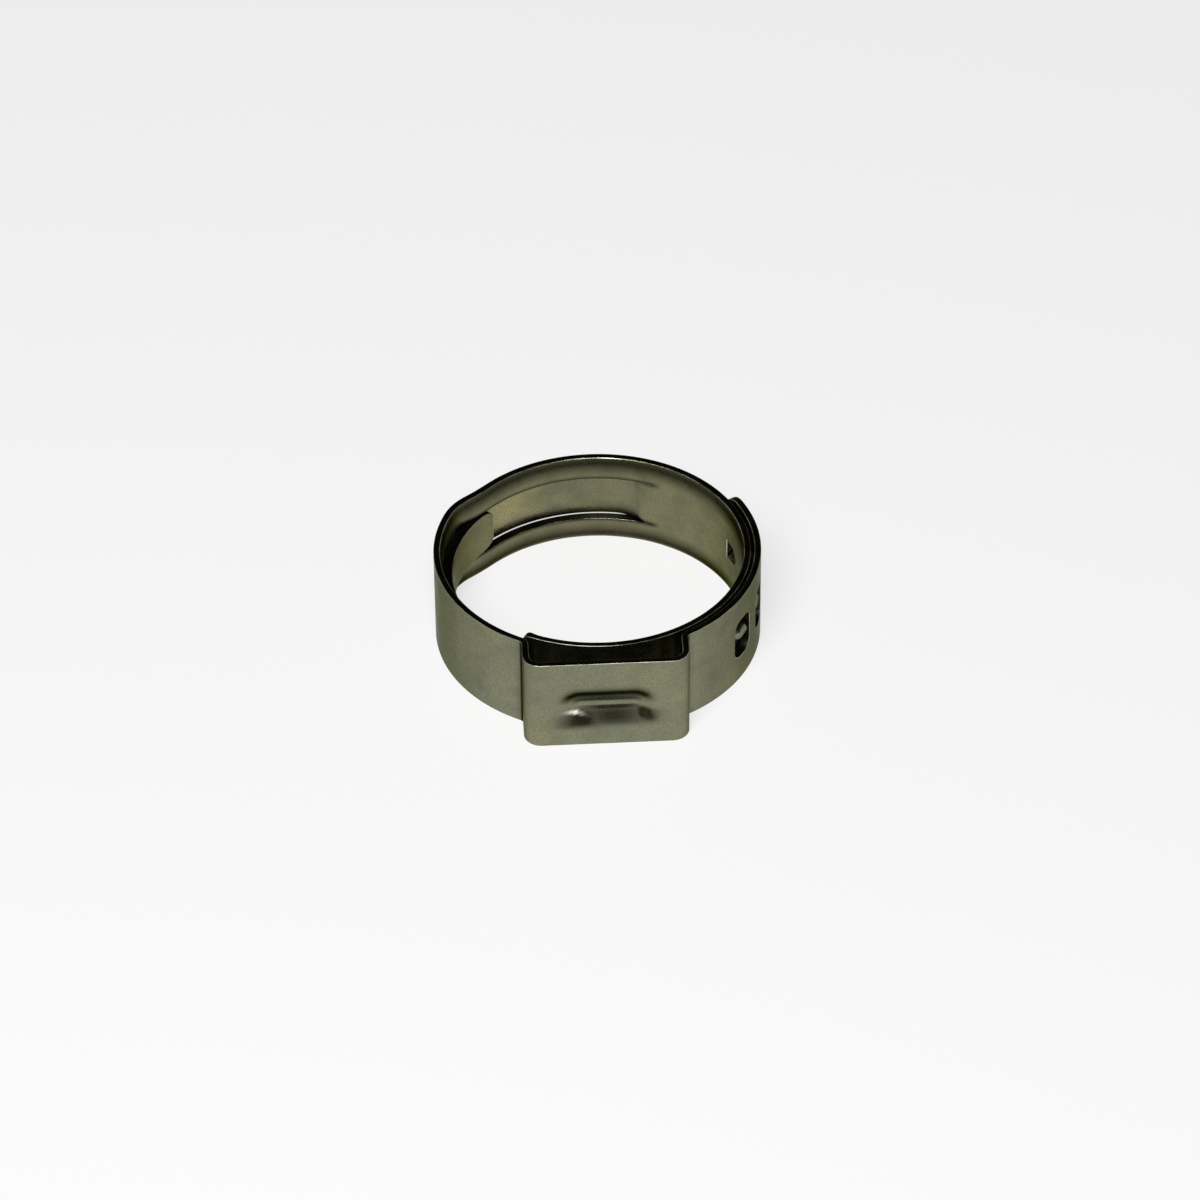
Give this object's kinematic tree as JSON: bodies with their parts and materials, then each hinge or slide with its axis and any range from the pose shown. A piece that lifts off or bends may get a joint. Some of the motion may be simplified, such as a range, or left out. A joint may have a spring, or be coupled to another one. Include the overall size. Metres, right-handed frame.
{
  "type": "ear hose clamp",
  "caption": "One-piece stainless steel ear clamp for a hose: a wound strip with a pinch ear, locking hooks and a sliding tongue in a channel.",
  "frame": {"origin": "middle of the bore, on its axis and half-way up the strip", "axes": "+Z along the bore's axis, across the strip; the ear points to -Y; the free outer end is at the back right, +X and +Y"},
  "size_m": [0.0224, 0.0236, 0.007],
  "materials": {
    "steel": "dull rolled stainless steel with deburred edges"
  },
  "bodies": {
    "root": {"ear_clamp": "steel"}
  },
  "joints": []
}
